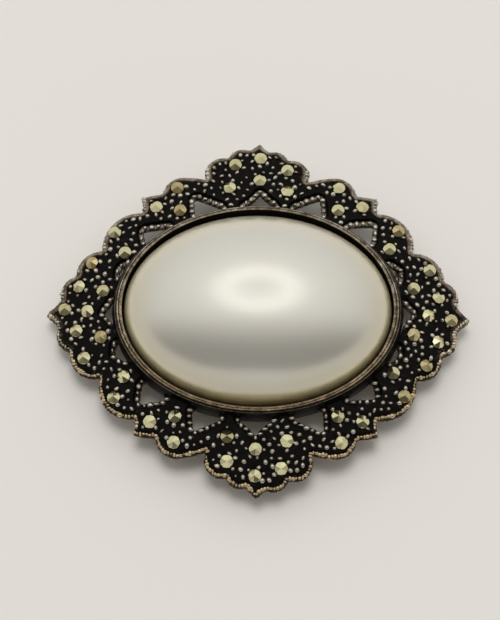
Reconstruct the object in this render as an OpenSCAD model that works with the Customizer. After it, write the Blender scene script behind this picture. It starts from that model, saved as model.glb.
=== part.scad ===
// Oval brooch: an openwork border set with marcasites round a bezel-set pearl cabochon,
// with a hinged pin stem and a roll-over safety catch on its back.
// It lies face up: +X along its length, +Y to its top edge, z = 0 at the surface it lies on.
// Everything is in millimetres.

/* [Pearl] */
// Length of the cabochon
pearl_len = 30; // [29:0.5:30]
// Width of the cabochon
pearl_wid = 22; // [21:0.5:22]
// Height of the dome above the straight girdle
pearl_dome_h = 7.35; // [5:0.05:8]
// Height of the straight girdle
pearl_girdle_h = 0.95; // [0.6:0.05:1.2]

/* [Bezel cup] */
// Gap between the cabochon and the wall at the girdle
pearl_gap = 0.1; // [0.05:0.05:0.2]
// Thickness of the wall at the rim
rim_t = 0.42; // [0.3:0.02:0.5]
// How far the wall's inside flares out from the girdle to the rim
rim_flare = 0.44; // [0.2:0.02:0.5]
// How far the wall's outside leans out from the rim down to the border
wall_lean = 0.34; // [0.1:0.02:0.5]
// Height of the rim above the girdle
rim_h = 1.5; // [1:0.1:2]
// Thickness of the cup's floor
floor_t = 0.6; // [0.5:0.1:0.8]

/* [Border] */
// Radius of the border's shallow dome
dome_r = 105; // [95:5:140]
// Height of the dome's middle above the surface the brooch lies on
dome_top = 6.1; // [6:0.05:6.4]
// Thickness of the casting
border_t = 1.3; // [1.1:0.1:1.4]

/* [Marcasites] */
// Diameter of a stone
stone_d = 1.4; // [1.2:0.05:1.5]
// Height of its faceted crown
crown_h = 0.48; // [0.3:0.02:0.6]
// Depth of its seat in the border
seat_depth = 0.5; // [0.3:0.05:0.6]
// Clearance between a stone and its seat
seat_gap = 0.02; // [0.01:0.01:0.05]

/* [Pin stem] */
// Height of the stem's axis above the surface the brooch lies on
stem_z = 1.4; // [1.4:0.05:1.5]
// Distance of the stem above the middle of the brooch
stem_y = 5; // [4:0.5:5.5]
// Diameter of the stem's wire
stem_d = 0.9; // [0.7:0.05:0.95]
// Length of the point
point_l = 4; // [3:0.5:6]
// Distance from the hinge's rivet to the tip of the point
stem_l = 37.6; // [37:0.1:38]

/* [Hinge] */
// Distance of the rivet to the left of the middle
hinge_x = 17.8; // [17.5:0.1:18]
// Width of the stem's knuckle
knuckle_w = 1.2; // [1:0.1:1.4]
// Diameter of the knuckle
knuckle_d = 2.2; // [1.8:0.1:2.2]
// Thickness of each ear
ear_t = 0.5; // [0.4:0.05:0.6]
// Diameter of the rivet
rivet_d = 0.9; // [0.7:0.05:1]
// Radial running clearance of the knuckle on the rivet
rivet_gap = 0.03; // [0.02:0.01:0.05]

/* [Catch] */
// Distance of the catch to the right of the middle
catch_x = 17.2; // [17:0.1:17.5]
// Outside diameter of the barrel
barrel_d = 2.8; // [2.8:0.05:2.85]
// Length of the barrel
barrel_l = 2.4; // [2:0.1:2.6]
// Outside diameter of the rotor's tube
rotor_d = 2.1; // [2:0.05:2.15]
// Radial running clearance of the rotor in the barrel
rotor_gap = 0.05; // [0.03:0.01:0.08]
// Width of the slots that let the stem in
slot_w = 1.14; // [1.1:0.02:1.2]
// Reach of the lever from the rotor's axis
lever_r = 2.3; // [2:0.1:2.3]

/* [Hidden] */
EPS = 0.01;
// How far a cutter reaches past what it cuts
CUT = 1;
// Diameter of the flat at the tip of a cone
TIP_D = 0.1;
$fn = 96;
SPHERE_FN = 240;
STONE_FN = 32;
STEM_FN = 48;
// Facets of a stone's crown, and how much further round each stone is turned than the one before
CROWN_SIDES = 6;
SPIN_STEP = 37;

// Levels, from the cup's floor upwards
pad_t = 0.4;
cement_t = 0.1;
girdle_z = 5.35;
pearl_z = girdle_z - pearl_girdle_h;
floor_z = pearl_z - cement_t - pad_t - floor_t;
rim_z = girdle_z + rim_h;

// Half-widths of the ovals, along X; each has the same margin all round the pearl
wall_in = pearl_gap;
rim_out = wall_in + rim_flare + rim_t;
wall_out = rim_out + wall_lean;
hole_gap = 0.02;

dome_z = dome_top - dome_r;
back_r = dome_r - border_t;

// Outline of the right half of the border, clockwise from the top tip to the bottom tip.
// Each corner is [x, y, bulge]; the bulge is the height of the arc to the next corner
// over half its chord, and is above 0 where the edge swells outwards.
OUTLINE = [
    [0, 21, -0.08], [1.1, 19.75, 0.5], [3.2, 18.7, 0.7], [5.35, 15.85, 0.06],
    [8.3, 16.6, 0.45], [11.1, 14.35, 0.06], [13.65, 14.05, -0.12], [13.4, 12.2, 0.55],
    [17.4, 7.5, 0.5], [21, 4.35, 0.5], [22.4, 1.45, -0.05],
    [23.95, -0.1, -0.05], [22.15, -1.8, 0.52], [20.6, -4.5, 0.5], [17.7, -7.4, 0.5],
    [13.25, -12.05, -0.12], [13.5, -13.95, 0.06], [11.05, -14.4, 0.45], [8.4, -16.5, 0.06],
    [6, -16.15, 0.68], [3.6, -18.95, 0.5], [1.2, -20, -0.08]
];

// Openings of the right half, as corners of the same kind. Their sides next to the bezel
// run in under it, where the bezel's own hole trims them.
TOP_V = [[0.1, 14.4, -0.15], [1.9, 12.7, 0], [1.5, 11, 0], [-1.5, 11, 0], [-1.8, 12.6, -0.15]];
SIDE_V = [[17.5, 0.2, -0.1], [16.3, -1.5, 0], [15, -1, 0], [15, 1, 0], [16.3, 1.4, -0.1]];
GAPS = [
    [[3.8, 12.5, 0.04], [6.75, 13.75, 0.4], [7.05, 13.4, 0], [7.25, 11.5, 0], [5, 11, 0]],
    [[10, 10.3, 0.05], [12.75, 10.7, 0.4], [13.05, 10.35, 0.06], [12.75, 8.2, 0], [11, 8.5, 0]],
    [[14.6, 6, 0], [15.9, 5.25, 0.1], [15.85, 3.75, 0], [14.5, 4, 0]],
    [[12.9, -8, 0.08], [13.2, -9.5, 0.4], [12.85, -9.85, 0.04], [10, -10.15, 0], [11, -8.5, 0]],
    [[7.4, -11.4, 0], [7.5, -13.4, 0.4], [7.1, -13.7, 0.04], [4, -12.4, 0], [5, -11, 0]],
    [[15.8, -3.9, 0.1], [15.6, -5.2, 0], [14.6, -5.8, 0], [14.5, -4, 0]]
];

// Stones of a quarter: name, place in the upper right (and, turned, in the lower left),
// place in the lower right (and, turned, in the upper left)
QUARTER = [
    ["fan_lobe", [3.2, 17.2], [2.8, -17.9]],
    ["fan_root", [3.2, 14.5], [3.4, -14.9]],
    ["trefoil_lobe", [9.1, 15.1], [9.4, -14.95]],
    ["trefoil_root", [9, 12.25], [9, -12.05]],
    ["leaf", [11.8, 12.8], [11.75, -12.55]],
    ["crescent_horn", [15.9, 10], [16.4, -9.5]],
    ["crescent_root", [14.85, 7.7], [15.15, -6.95]],
    ["side_lobe_far", [19.4, 5.4], [18.9, -5.85]],
    ["side_root", [17.55, 3.05], [17.5, -2.4]],
    ["side_lobe_near", [20.4, 2.2], [20.3, -3.05]]
];
// Stones on the axes: name, place at the top or right, names of the two ends
ON_AXIS = [
    ["fan_tip", [0.1, 18.75], ["top", "bottom"]],
    ["fan_centre", [0.05, 15.85], ["top", "bottom"]],
    ["side_tip", [21.8, -0.4], ["right", "left"]],
    ["side_centre", [19.2, -0.05], ["right", "left"]]
];
// Every stone as [node name, place]
STONES = [
    for (q = QUARTER) each [
        [str("stone_", q[0], "_upper_right"), q[1]],
        [str("stone_", q[0], "_lower_left"), -q[1]],
        [str("stone_", q[0], "_lower_right"), q[2]],
        [str("stone_", q[0], "_upper_left"), -q[2]]
    ],
    for (a = ON_AXIS) each [
        [str("stone_", a[0], "_", a[2][0]), a[1]],
        [str("stone_", a[0], "_", a[2][1]), -a[1]]
    ]
];

// Degrees of an arc between two of its points
ARC_STEP = 10;

function turned(v, angle) = [v.x * cos(angle) - v.y * sin(angle), v.x * sin(angle) + v.y * cos(angle)];

// Points of the arc from a to b, without b itself
function arc_points(a, b, bulge) =
    abs(bulge) < EPS ? [a] :
    let (half = (b - a) / 2,
         left = [-half.y, half.x],
         centre = a + half - left * (1 - bulge * bulge) / (2 * bulge),
         sweep = 4 * atan(bulge),
         n = ceil(abs(sweep) / ARC_STEP))
    [for (i = [0 : n - 1]) centre + turned(a - centre, -sweep * i / n)];

// Points of an open run of corners, up to but without its last corner
function run_points(corners) = [
    for (i = [0 : len(corners) - 2])
        each arc_points([corners[i].x, corners[i].y], [corners[i + 1].x, corners[i + 1].y], corners[i].z)
];

// The half outline ends at the first corner turned round
half_outline = run_points(concat(OUTLINE, [[-OUTLINE[0].x, -OUTLINE[0].y, 0]]));
full_outline = concat(half_outline, [for (p = half_outline) -p]);

// A right cylinder whose base is an oval that keeps the same margin all round the pearl,
// and whose top keeps another
module oval(margin, h, top_margin = undef) {
    a = pearl_len / 2 + margin;
    b = pearl_wid / 2 + margin;
    top_a = pearl_len / 2 + (is_undef(top_margin) ? margin : top_margin);
    scale([1, b / a, 1]) cylinder(r1 = a, r2 = top_a, h = h);
}

// The ball that fills the hollow under the border
module back_ball() {
    translate([0, 0, dome_z]) sphere(back_r, $fn = SPHERE_FN);
}

// Carries its child to the dome's surface above a point of the plan, square to the surface
module on_dome(p) {
    translate([0, 0, dome_z])
        rotate([0, asin(norm(p) / dome_r), atan2(p.y, p.x)])
            translate([0, 0, dome_r]) children();
}

module both_halves() {
    children();
    rotate([0, 0, 180]) children();
}

module opening(corners) {
    linear_extrude(3 * border_t + dome_top) polygon(run_points(concat(corners, [corners[0]])));
}

// Cast openwork border with the stones' seats
module border_frame() {
    color("dimgray")
    difference() {
        intersection() {
            linear_extrude(dome_top + CUT) polygon(full_outline);
            translate([0, 0, dome_z]) sphere(dome_r, $fn = SPHERE_FN);
        }
        back_ball();
        translate([0, 0, -EPS]) oval(wall_out + hole_gap, dome_top + CUT);
        both_halves() {
            opening(TOP_V);
            opening(SIDE_V);
            for (g = GAPS) opening(g);
        }
        for (s = STONES)
            on_dome(s[1]) translate([0, 0, -seat_depth])
                cylinder(r = stone_d / 2 + seat_gap, h = seat_depth + CUT, $fn = STONE_FN);
    }
}

// Oval cup with a flared inside and a leaning outside
module bezel_cup() {
    upright_h = 0.2;
    lean_z = girdle_z + upright_h;
    color("silver")
    difference() {
        union() {
            translate([0, 0, floor_z]) oval(wall_out, lean_z - floor_z);
            translate([0, 0, lean_z]) oval(wall_out, rim_z - lean_z, rim_out);
        }
        translate([0, 0, floor_z + floor_t]) oval(wall_in, rim_z);
        translate([0, 0, girdle_z]) oval(wall_in, rim_h + EPS, rim_out - rim_t);
    }
}

// Card pad that packs the cabochon up
module pearl_pad() {
    color("tan") translate([0, 0, floor_z + floor_t]) oval(0, pad_t);
}

// Bed of cement
module pearl_cement() {
    color("ivory") translate([0, 0, pearl_z - cement_t]) oval(0, cement_t);
}

// Cabochon: a straight girdle under half an ellipsoid
module pearl_cabochon() {
    color("whitesmoke") {
        translate([0, 0, pearl_z]) oval(0, pearl_girdle_h);
        translate([0, 0, girdle_z])
            intersection() {
                scale([pearl_len / 2, pearl_wid / 2, pearl_dome_h]) sphere(1);
                translate([-pearl_len, -pearl_wid, 0])
                    cube([2 * pearl_len, 2 * pearl_wid, 2 * pearl_dome_h]);
            }
    }
}

// Rose-cut stone in its seat: a round pavilion under a six-sided crown
module marcasite(index, p) {
    girdle_h = 0.06;
    crown_spin = SPIN_STEP * index;
    color("darkkhaki")
    on_dome(p) {
        translate([0, 0, -seat_depth]) cylinder(d = stone_d, h = seat_depth + girdle_h, $fn = STONE_FN);
        translate([0, 0, girdle_h]) rotate([0, 0, crown_spin])
            cylinder(d1 = stone_d, d2 = TIP_D, h = crown_h, $fn = CROWN_SIDES);
    }
}

ear_r = 1.15;
// Height from the stem's axis to the underside of the hinge's plate
plate_room = 1.3;
rivet_r = rivet_d / 2;
ear_gap = 0.05;
ear_y = knuckle_w / 2 + ear_gap;

module at_hinge() {
    translate([-hinge_x, stem_y, stem_z]) children();
}

// A round bar along Y, centred on the hinge
module cross_bar(r, w) {
    rotate([90, 0, 0]) cylinder(r = r, h = w, center = true);
}

// Base plate with two ears, shaped to the hollow back of the border
module hinge_bracket() {
    plate_l = 3.4;
    plate_edge = 0.6;
    plate_w = 2 * (ear_y + ear_t + plate_edge);
    color("silver")
    difference() {
        intersection() {
            at_hinge() {
                translate([-plate_l / 2, -plate_w / 2, plate_room]) cube([plate_l, plate_w, dome_top]);
                for (side = [-1, 1])
                    translate([0, side * (ear_y + ear_t / 2), 0]) {
                        cross_bar(ear_r, ear_t);
                        translate([-ear_r, -ear_t / 2, 0]) cube([2 * ear_r, ear_t, plate_room + EPS]);
                    }
            }
            back_ball();
        }
        at_hinge() cross_bar(rivet_r, 2 * (ear_y + ear_t) + CUT);
    }
}

// Rivet with a flat head on each ear
module hinge_rivet() {
    head_t = 0.25;
    head_r = 0.72;
    color("lightgray")
    at_hinge() {
        cross_bar(rivet_r, 2 * (ear_y + ear_t));
        for (side = [-1, 1])
            translate([0, side * (ear_y + ear_t + head_t / 2), 0]) cross_bar(head_r, head_t);
    }
}

// Knuckle, shaft and point of the pin
module pin_stem() {
    color("lightsteelblue")
    at_hinge()
    difference() {
        union() {
            cross_bar(knuckle_d / 2, knuckle_w);
            rotate([0, 90, 0]) {
                cylinder(d = stem_d, h = stem_l - point_l, $fn = STEM_FN);
                translate([0, 0, stem_l - point_l])
                    cylinder(d1 = stem_d, d2 = TIP_D, h = point_l, $fn = STEM_FN);
            }
        }
        cross_bar(rivet_r + rivet_gap, knuckle_w + CUT);
    }
}

module at_catch() {
    translate([catch_x, stem_y, stem_z]) children();
}

// A round bar along X, centred on the catch
module long_bar(d, l) {
    rotate([0, 90, 0]) cylinder(d = d, h = l, center = true);
}

// The way in for the stem, from below
module stem_slot(l) {
    translate([-l / 2, -slot_w / 2, -barrel_d]) cube([l, slot_w, barrel_d]);
}

// C-shaped barrel on a foot, shaped to the hollow back of the border
module catch_body() {
    foot_w = 1.6;
    color("silver")
    difference() {
        intersection() {
            at_catch() {
                long_bar(barrel_d, barrel_l);
                translate([-barrel_l / 2, -foot_w / 2, 0]) cube([barrel_l, foot_w, dome_top]);
            }
            back_ball();
        }
        at_catch() {
            long_bar(rotor_d + 2 * rotor_gap, barrel_l + CUT);
            stem_slot(barrel_l + CUT);
        }
    }
}

// Slotted tube with a collar at each end and a lever on the inner collar
module catch_rotor() {
    collar_t = 0.3;
    collar_gap = 0.05;
    collar_step = 0.05;
    collar_d = barrel_d - 2 * collar_step;
    tube_l = barrel_l + 2 * (collar_t + collar_gap);
    bore_gap = 0.17;
    bore_d = stem_d + 2 * bore_gap;
    lever_w = 0.8;
    lever_angle = 45;
    color("gainsboro")
    at_catch()
    difference() {
        union() {
            long_bar(rotor_d, tube_l);
            for (side = [-1, 1])
                translate([side * (tube_l - collar_t) / 2, 0, 0]) long_bar(collar_d, collar_t);
            translate([-tube_l / 2, 0, 0]) rotate([lever_angle, 0, 0])
                translate([0, 0, -lever_w / 2]) cube([collar_t, lever_r, lever_w]);
        }
        long_bar(bore_d, tube_l + CUT);
        stem_slot(tube_l + CUT);
    }
}

border_frame();
bezel_cup();
pearl_pad();
pearl_cement();
pearl_cabochon();
hinge_bracket();
hinge_rivet();
pin_stem();
catch_body();
catch_rotor();
for (i = [0 : len(STONES) - 1])
    marcasite(i, STONES[i][1]);
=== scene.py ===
"""Looks of an oval brooch: an oxidised openwork border set with marcasites, round a pearl in a bezel.

The packed CAD model is the fixed frame. Every piece is made from it in metres, at the origin.
"""

import functools
import math
import random

import bmesh
import bpy
import numpy as np
from bpy.props import FloatProperty, FloatVectorProperty, IntProperty, PointerProperty
from mathutils import Matrix, Vector, geometry, kdtree, noise


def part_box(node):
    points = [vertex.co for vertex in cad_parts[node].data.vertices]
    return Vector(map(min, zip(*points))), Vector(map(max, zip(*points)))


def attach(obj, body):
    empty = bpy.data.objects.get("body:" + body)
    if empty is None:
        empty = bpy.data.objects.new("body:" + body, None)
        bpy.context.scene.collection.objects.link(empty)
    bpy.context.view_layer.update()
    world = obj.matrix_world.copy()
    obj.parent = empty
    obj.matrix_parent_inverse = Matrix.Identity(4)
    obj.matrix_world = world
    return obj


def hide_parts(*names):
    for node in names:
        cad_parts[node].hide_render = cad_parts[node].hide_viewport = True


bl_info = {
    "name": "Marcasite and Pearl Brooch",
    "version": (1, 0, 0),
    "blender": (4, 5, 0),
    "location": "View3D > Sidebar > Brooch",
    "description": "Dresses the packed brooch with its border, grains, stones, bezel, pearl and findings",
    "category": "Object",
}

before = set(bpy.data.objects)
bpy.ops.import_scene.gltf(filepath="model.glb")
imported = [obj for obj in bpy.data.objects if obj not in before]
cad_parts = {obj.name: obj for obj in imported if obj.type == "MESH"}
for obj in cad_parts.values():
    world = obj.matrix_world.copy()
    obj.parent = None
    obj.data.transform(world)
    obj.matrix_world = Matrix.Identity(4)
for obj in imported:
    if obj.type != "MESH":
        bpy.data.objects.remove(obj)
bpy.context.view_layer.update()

MM = 0.001
# Distance below which a CAD node's points are the same one
MERGE = 0.001 * MM
# How far the sharp corners of the border's loops are rounded
CORNER_ROUNDING = 0.34 * MM
# How far the middle of a grain or of an edge bead lies below the surface that it stands on
BEAD_DEPTH = 0.06 * MM
STONE_NODES = sorted(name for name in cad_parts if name.startswith("stone_"))


# ---------------------------------------------------------------- settings


def length(name, description, millimetres):
    """A length property with its default given in millimetres."""
    return FloatProperty(
        name=name,
        description=description,
        default=millimetres * MM,
        min=0,
        subtype="DISTANCE",
        unit="LENGTH",
        precision=5,
    )


def factor(name, description, value):
    """A property from 0 to 1."""
    return FloatProperty(name=name, description=description, default=value, min=0, max=1, subtype="FACTOR")


def angle(name, description, degrees):
    """An angle property with its default given in degrees."""
    return FloatProperty(
        name=name, description=description, default=math.radians(degrees), subtype="ANGLE", unit="ROTATION"
    )


def colour(name, description, value):
    """A linear colour property."""
    return FloatVectorProperty(
        name=name, description=description, default=value, min=0, max=1, size=3, subtype="COLOR"
    )


def seed(value):
    """The seed of a piece's random choices."""
    return IntProperty(name="Seed", description="Seed of the random choices", default=value, min=0)


class BorderSettings(bpy.types.PropertyGroup):
    """Shape of the cast border."""

    edge_width: length("Edge width", "Width of the plain rounded band along the outline", 0.75)
    edge_drop: length("Edge drop", "How far the band falls from the field to the side wall", 0.8)
    ribbon_width: length("Ribbon width", "Width of the lower ribbon along each opening", 0.56)
    ribbon_drop: length("Ribbon drop", "How far the ribbon lies below the field", 0.45)
    dish: length("Stone dish", "Depth of the dish round each stone", 0.1)
    roughness: length("Casting roughness", "Height of the casting's waviness", 0.035)
    lumps: length("Wall lumps", "How far the side wall's file-cut lumps stand out", 0.14)
    lump_pitch: length("Lump pitch", "Distance between the side wall's lumps", 0.56)


class GrainSettings(bpy.types.PropertyGroup):
    """Raised grains of the black field, and beads of the ribbons and of the rounded edge."""

    diameter: length("Grain diameter", "Diameter of a raised grain", 0.52)
    spacing: length("Grain spacing", "Least distance between two grains", 0.76)
    edge_gap: length("Edge gap", "Distance of the first row of grains from the outline", 0.98)
    ribbon_gap: length("Ribbon gap", "Least distance of a grain from an opening", 0.95)
    bead_diameter: length("Bead diameter", "Diameter of a ribbon's bead", 0.6)
    bead_pitch: length("Bead pitch", "Distance between the beads of a ribbon", 0.68)
    foot_wear: factor("Foot wear", "Wear at the foot of a grain or a ribbon's bead", 0.15)
    edge_wear: factor("Edge wear", "Wear at the foot of a bead on the rounded edge", 0.3)
    tilt: angle("Tilt", "Largest tilt of a grain", 25)
    edge_diameter: length("Edge bead diameter", "Diameter of a bead on the rounded edge", 0.5)
    edge_variation: factor("Edge variation", "How much the edge's beads differ in size", 0.5)
    edge_pitch: length("Edge bead pitch", "Distance between the beads on the rounded edge", 0.36)
    variation: factor("Variation", "How much grains and beads differ in size", 0.36)
    seed: seed(11)


class StoneSettings(bpy.types.PropertyGroup):
    """Cut of the marcasites."""

    diameter: length("Diameter", "Diameter of a stone at its girdle", 1.5)
    crown: length("Crown", "Height of the crown above the girdle", 0.45)
    tilt: angle("Tilt", "Largest tilt of a stone in its seat", 9)
    spin: angle("Spin", "Turn of the crown's facets in their seats", 30)
    seed: seed(23)


class BezelSettings(bpy.types.PropertyGroup):
    """Section of the bezel's cup and rim."""

    upright: length("Upright", "Height of the wall's upright part above the girdle", 0.2)
    lean: length("Lean", "How far the wall leans in from there to the rim", 0.34)
    pearl_gap: length("Pearl gap", "Gap between the pearl and the wall at the girdle", 0.1)
    floor: length("Floor", "Thickness of the cup's floor", 0.6)
    rim_width: length("Rim width", "Width of the rim seen from above", 0.42)
    rim_round: length("Rim rounding", "Rounding of the rim's edges", 0.1)
    groove: length("Groove", "Depth of the fine groove along the rim", 0.05)
    bead_drop: length("Line drop", "Distance of the raised line below the rim", 0.45)
    end_tuck: length("End tuck", "How far the rim is pushed in at the two ends", 0.24)
    ripple: length("Ripple", "Unevenness of the burnished rim", 0.035)


class PearlSettings(bpy.types.PropertyGroup):
    """Form and tones of the cabochon."""

    girdle: length("Girdle", "Height of the straight girdle", 0.95)
    body: colour("Body", "Colour of the pearl's body", (0.71, 0.70, 0.635))
    # Painted reflection: olive gold of the bezel's wall on the pearl's steep flank near the girdle
    flank_painted_reflection: colour("Flank", "Colour of the steep flank near the girdle", (0.84, 0.77, 0.47))
    # Painted reflection: a darker warm cast in the middle heights, standing in for the warm room that the
    # pearl reflects
    painted_middle_reflection: colour("Blush", "Warm cast of the middle zone", (0.66, 0.62, 0.50))


class FinishSettings(bpy.types.PropertyGroup):
    """Colours of the metals, the stones and the hidden card and cement."""

    oxide: colour("Oxide", "Black oxide in the recesses", (0.003, 0.0027, 0.0024))
    silver: colour("Worn silver", "Silver where the oxide has worn off", (0.62, 0.585, 0.51))
    # Painted reflection: warm gold tint of the silver towards the near (lower) side, standing in for the
    # warm surroundings that it reflects
    painted_warm_reflection: colour("Gilt silver", "Warmer silver of the rubbed parts near the lower edge", (0.66, 0.52, 0.31))
    tarnish: colour("Tarnish", "Brown tarnish between oxide and bare silver", (0.14, 0.105, 0.068))
    findings: colour("Findings", "Metal of the hinge and the catch", (0.55, 0.52, 0.47))
    steel: colour("Steel", "Metal of the pin stem", (0.50, 0.50, 0.50))
    marcasite: colour("Marcasite", "Pyrite of the stones", (0.80, 0.765, 0.47))
    card: colour("Card", "Card pad under the pearl", (0.45, 0.36, 0.25))
    cement: colour("Cement", "Cement under the pearl", (0.70, 0.66, 0.55))


class StageSettings(bpy.types.PropertyGroup):
    """Floor and camera."""

    floor: colour("Floor", "Colour of the floor", (0.76, 0.745, 0.715))
    elevation: angle("Camera elevation", "Camera's height above the horizon", 72)


# ---------------------------------------------------------------- nodes


def named(sockets, name):
    """The socket in use that has a name."""
    return next(s for s in sockets if s.enabled and s.name == name)


class Socket:
    """An output socket of a node. Arithmetic on it adds Math nodes to its tree."""

    def __init__(self, tree, link):
        self.tree = tree
        self.link = link

    def of(self, name):
        """Another output of the same node."""
        return Socket(self.tree, named(self.link.node.outputs, name))

    def maths(self, operation, *values):
        return self.tree.node("ShaderNodeMath", {"operation": operation}, dict(enumerate(values)))

    def __abs__(self):
        return self.maths("ABSOLUTE", self)

    def __add__(self, other):
        return self.maths("ADD", self, other)

    __radd__ = __add__

    def __sub__(self, other):
        return self.maths("SUBTRACT", self, other)

    def __rsub__(self, other):
        return self.maths("SUBTRACT", other, self)

    def __mul__(self, other):
        return self.maths("MULTIPLY", self, other)

    __rmul__ = __mul__

    def __truediv__(self, other):
        return self.maths("DIVIDE", self, other)

    def between(self, low, high):
        """0 below low, 1 above high and a smooth rise from one to the other."""
        inputs = {"Value": self, "From Min": low, "From Max": high}
        return self.tree.node("ShaderNodeMapRange", {"interpolation_type": "SMOOTHSTEP"}, inputs)


class Tree:
    """A tree of nodes, of a material, of the world or of a modifier."""

    def __init__(self, data):
        self.data = data

    def node(self, kind, settings, inputs):
        """Adds a node, sets its settings, fills or links its sockets and returns its first output in use."""
        made = self.data.nodes.new(kind)
        for key, value in settings.items():
            setattr(made, key, value)
        for key, value in inputs.items():
            socket = made.inputs[key] if isinstance(key, int) else named(made.inputs, key)
            if isinstance(value, Socket):
                self.data.links.new(value.link, socket)
            else:
                socket.default_value = value
        return next((Socket(self, s) for s in made.outputs if s.enabled), None)


class Shading(Tree):
    """The emptied tree of a material or of the world."""

    def __init__(self, owner):
        owner.use_nodes = True
        super().__init__(owner.node_tree)
        self.data.nodes.clear()

    def place(self):
        return self.node("ShaderNodeTexCoord", {}, {}).of("Object")

    def along(self, axis):
        """The place's distance along X, Y or Z."""
        return self.node("ShaderNodeSeparateXYZ", {}, {"Vector": self.place()}).of(axis)

    def attribute(self, name):
        """A mesh's attribute, which is 0 on a mesh that doesn't have it."""
        return self.node("ShaderNodeAttribute", {"attribute_name": name}, {}).of("Fac")

    def noise(self, size, detail=2.0, roughness=0.5):
        """Smooth noise, from about 0.3 to 0.7, with features of the given size in metres."""
        inputs = {"Vector": self.place(), "Scale": 1 / size, "Detail": detail, "Roughness": roughness}
        return self.node("ShaderNodeTexNoise", {}, inputs)

    def mix(self, amount, low, high):
        """Colour between low, at 0, and high, at 1."""
        low, high = (v if isinstance(v, Socket) else (*v, 1) for v in (low, high))
        settings = {"data_type": "RGBA", "clamp_factor": True}
        return self.node("ShaderNodeMix", settings, {"Factor": amount, "A": low, "B": high})

    def bump(self, height, distance, strength):
        inputs = {"Height": height, "Distance": distance, "Strength": strength}
        return self.node("ShaderNodeBump", {}, inputs)

    def finish(self, **sockets):
        """Ends a material in one Principled surface; each name's _ stands for a space."""
        inputs = {name.replace("_", " "): value for name, value in sockets.items()}
        surface = self.node("ShaderNodeBsdfPrincipled", {}, inputs)
        self.node("ShaderNodeOutputMaterial", {}, {"Surface": surface})


def new_material(name):
    material = bpy.data.materials.new(name)
    return material, Shading(material)


# ---------------------------------------------------------------- materials


def oxidised_silver(name, oxide_rough, silver_rough, with_painted_reflection=True):
    """Silver under black oxide, bare where the mesh's wear and tone attributes are high, the border's and
    the bezel's wear also holding painted light; the near side can get a painted warm reflection.
    """
    material, look = new_material(name)
    tone = bpy.context.scene.brooch_finish
    patches = look.noise(0.9 * MM, 3, 0.6)
    specks = look.noise(0.16 * MM, 3, 0.65)
    # The wear attribute also carries painted light on the border's top and on the bezel's inner wall
    worn = look.attribute("wear") + look.attribute("tone")
    worn = worn + (patches - 0.5) * 0.7 + (specks - 0.5) * 0.8
    brown = worn.between(0.12, 0.5)
    bare = worn.between(0.38, 0.85)
    silver = tone.silver
    # Painted reflection: the silver turns warm gold towards the near (lower) side
    if with_painted_reflection:
        outside_painted_reflection = look.along("Y").between(-9 * MM, 4 * MM)
        silver = look.mix(outside_painted_reflection, tone.painted_warm_reflection, tone.silver)
    look.finish(
        Base_Color=look.mix(bare, look.mix(brown, tone.oxide, tone.tarnish), silver),
        Metallic=0.15 + bare * 0.85,
        Roughness=oxide_rough + bare * (silver_rough - oxide_rough) + (specks - 0.5) * 0.25,
        Specular_IOR_Level=0.08,
        Normal=look.bump(specks + patches * 0.8, 0.03 * MM, 0.6),
    )
    return material


def bright_metal(name, tone, rough, grain_size):
    """Plain polished metal of the findings, with fine wear and a little tarnish."""
    material, look = new_material(name)
    patches = look.noise(2.2 * MM, 3, 0.6)
    specks = look.noise(grain_size)
    dull = patches.between(0.42, 0.68)
    dark = [0.45 * c for c in tone]
    look.finish(
        Base_Color=look.mix(dull * 0.7, tone, dark),
        Metallic=1.0,
        Roughness=rough + dull * 0.18 + (specks - 0.5) * 0.15,
        Normal=look.bump(specks, 0.01 * MM, 0.5),
    )
    return material


def marcasite_material():
    """Pyrite: pale brassy metal, each stone a little lighter or browner than the next."""
    material, look = new_material("marcasite")
    pale = bpy.context.scene.brooch_finish.marcasite
    warm = [c * share for c, share in zip(pale, (0.62, 0.5, 0.36))]
    each = look.attribute("tone")
    bloom = look.noise(0.35 * MM)
    look.finish(
        Base_Color=look.mix(each.between(0.45, 1.0) * 0.8 + (bloom - 0.5) * 0.9, pale, warm),
        Metallic=1.0,
        Roughness=0.16 + each * 0.1 + (bloom - 0.5) * 0.3,
        Normal=look.bump(bloom, 0.006 * MM, 0.5),
    )
    return material


def pearl_material(base_z, top_z):
    """Satin pearl coating with painted reflections: silvery on top, a painted warm cast in the middle and a
    painted olive gold reflection of the bezel on its steep flank.
    """
    material, look = new_material("pearl")
    pearl = bpy.context.scene.brooch_pearl
    height = (look.along("Z") - base_z) / (top_z - base_z)
    cloud = look.noise(6 * MM)
    fine = look.noise(0.12 * MM)
    # Painted reflection: olive gold on the steep flank near the girdle, standing in for the bezel's gold
    # wall that it reflects
    flank_painted_reflection = 1 - height.between(0.26, 0.46)
    # Painted reflection: warm cast in the middle heights, the body colour on top, with random cloudy tone
    upper = height.between(0.45, 0.8) + (cloud - 0.5) * 0.6
    look.finish(
        Base_Color=look.mix(flank_painted_reflection, look.mix(upper, pearl.painted_middle_reflection, pearl.body), pearl.flank_painted_reflection),
        Metallic=0.62,
        Roughness=0.26 + (fine - 0.5) * 0.04,
        Coat_Weight=0.2,
        Coat_Roughness=0.1,
        Normal=look.bump(fine, 0.0015 * MM, 0.4),
    )
    return material


def board(name, tone, size):
    """Card or cement: matt, mottled and a little rough."""
    material, look = new_material(name)
    fibres = look.noise(size, 4, 0.7)
    dark = [0.7 * c for c in tone]
    look.finish(
        Base_Color=look.mix(fibres, dark, tone),
        Roughness=0.75 + fibres * 0.2,
        Normal=look.bump(fibres, 0.02 * MM, 0.7),
    )
    return material


# ---------------------------------------------------------------- meshes


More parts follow.
